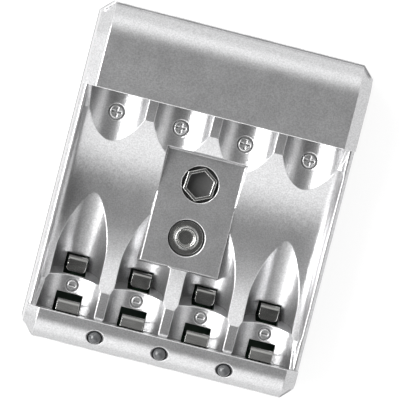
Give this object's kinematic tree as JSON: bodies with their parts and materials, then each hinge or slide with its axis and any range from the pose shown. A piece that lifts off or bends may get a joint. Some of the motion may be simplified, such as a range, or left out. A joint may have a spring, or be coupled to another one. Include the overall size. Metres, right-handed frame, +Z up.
{
  "type": "battery charger",
  "caption": "Desktop charger with side-by-side troughs for AA and AAA cells, sprung leaf contacts, a snap pad for a nine-volt cell and indicator lamps in the lip.",
  "frame": {"origin": "middle of the footprint, at the underside of the feet", "axes": "+X across the bays, +Y from the lip towards the raised head, +Z up"},
  "size_m": [0.064, 0.0786, 0.027],
  "materials": {
    "silver_paint": "satin silver paint on moulded plastic",
    "grey_plastic": "fine matt grain",
    "steel": "zinc plated",
    "rubber": "matt",
    "board": "solder resist",
    "black_plastic": "moulded epoxy",
    "sleeve": "shrunk sleeve",
    "ferrite": "ground ferrite",
    "aluminium": "mill finish",
    "brass": "turned",
    "lens": "clear-tinted lens",
    "contact_metal": "nickel plated spring sheet",
    "snap_metal": "nickel plated",
    "strip": "punched dark laminate",
    "wire": "tinned wire"
  },
  "bodies": {
    "charger": {"upper_housing": "silver_paint", "lower_cover": "grey_plastic", "cover_screws": "steel", "rubber_foot_1": "rubber", "rubber_foot_2": "rubber", "rubber_foot_3": "rubber", "rubber_foot_4": "rubber", "main_board": "board", "board_screws": "steel", "controller_chip": "black_plastic", "diodes": "black_plastic", "resistors": "black_plastic", "bulk_capacitor": "sleeve", "output_capacitor": "sleeve", "power_inductor": "ferrite", "power_transistor": "black_plastic", "heat_sink": "aluminium", "jack_body": "black_plastic", "jack_pin": "brass", "led_1": "lens", "led_2": "lens", "led_3": "lens", "positive_contact_1": "contact_metal", "positive_contact_2": "contact_metal", "positive_contact_3": "contact_metal", "positive_contact_4": "contact_metal", "snap_board": "strip", "snap_socket": "snap_metal", "snap_stud": "snap_metal", "snap_lead_1": "wire", "snap_lead_2": "wire"},
    "aa_leaf_1": {"aa_contact_1": "contact_metal"},
    "aa_leaf_2": {"aa_contact_2": "contact_metal"},
    "aa_leaf_3": {"aa_contact_3": "contact_metal"},
    "aa_leaf_4": {"aa_contact_4": "contact_metal"},
    "aaa_leaf_1": {"aaa_contact_1": "contact_metal"},
    "aaa_leaf_2": {"aaa_contact_2": "contact_metal"},
    "aaa_leaf_3": {"aaa_contact_3": "contact_metal"},
    "aaa_leaf_4": {"aaa_contact_4": "contact_metal"}
  },
  "joints": [
    {"name": "aa_leaf_1_flex", "type": "hinge", "parent": "charger", "child": "aa_leaf_1", "pos_m": [-0.0228, -0.0312, 0.005], "axis": [1, 0, 0], "range_deg": [0, 6], "stiffness_Nm_per_rad": 0.2},
    {"name": "aa_leaf_2_flex", "type": "hinge", "parent": "charger", "child": "aa_leaf_2", "pos_m": [-0.0076, -0.0312, 0.005], "axis": [1, 0, 0], "range_deg": [0, 6], "stiffness_Nm_per_rad": 0.2},
    {"name": "aa_leaf_3_flex", "type": "hinge", "parent": "charger", "child": "aa_leaf_3", "pos_m": [0.0076, -0.0312, 0.005], "axis": [1, 0, 0], "range_deg": [0, 6], "stiffness_Nm_per_rad": 0.2},
    {"name": "aa_leaf_4_flex", "type": "hinge", "parent": "charger", "child": "aa_leaf_4", "pos_m": [0.0228, -0.0312, 0.005], "axis": [1, 0, 0], "range_deg": [0, 6], "stiffness_Nm_per_rad": 0.2},
    {"name": "aaa_leaf_1_flex", "type": "hinge", "parent": "charger", "child": "aaa_leaf_1", "pos_m": [-0.0228, -0.02235, 0.005], "axis": [1, 0, 0], "range_deg": [0, 12], "stiffness_Nm_per_rad": 0.035},
    {"name": "aaa_leaf_2_flex", "type": "hinge", "parent": "charger", "child": "aaa_leaf_2", "pos_m": [-0.0076, -0.02235, 0.005], "axis": [1, 0, 0], "range_deg": [0, 12], "stiffness_Nm_per_rad": 0.035},
    {"name": "aaa_leaf_3_flex", "type": "hinge", "parent": "charger", "child": "aaa_leaf_3", "pos_m": [0.0076, -0.02235, 0.005], "axis": [1, 0, 0], "range_deg": [0, 12], "stiffness_Nm_per_rad": 0.035},
    {"name": "aaa_leaf_4_flex", "type": "hinge", "parent": "charger", "child": "aaa_leaf_4", "pos_m": [0.0228, -0.02235, 0.005], "axis": [1, 0, 0], "range_deg": [0, 12], "stiffness_Nm_per_rad": 0.035}
  ]
}
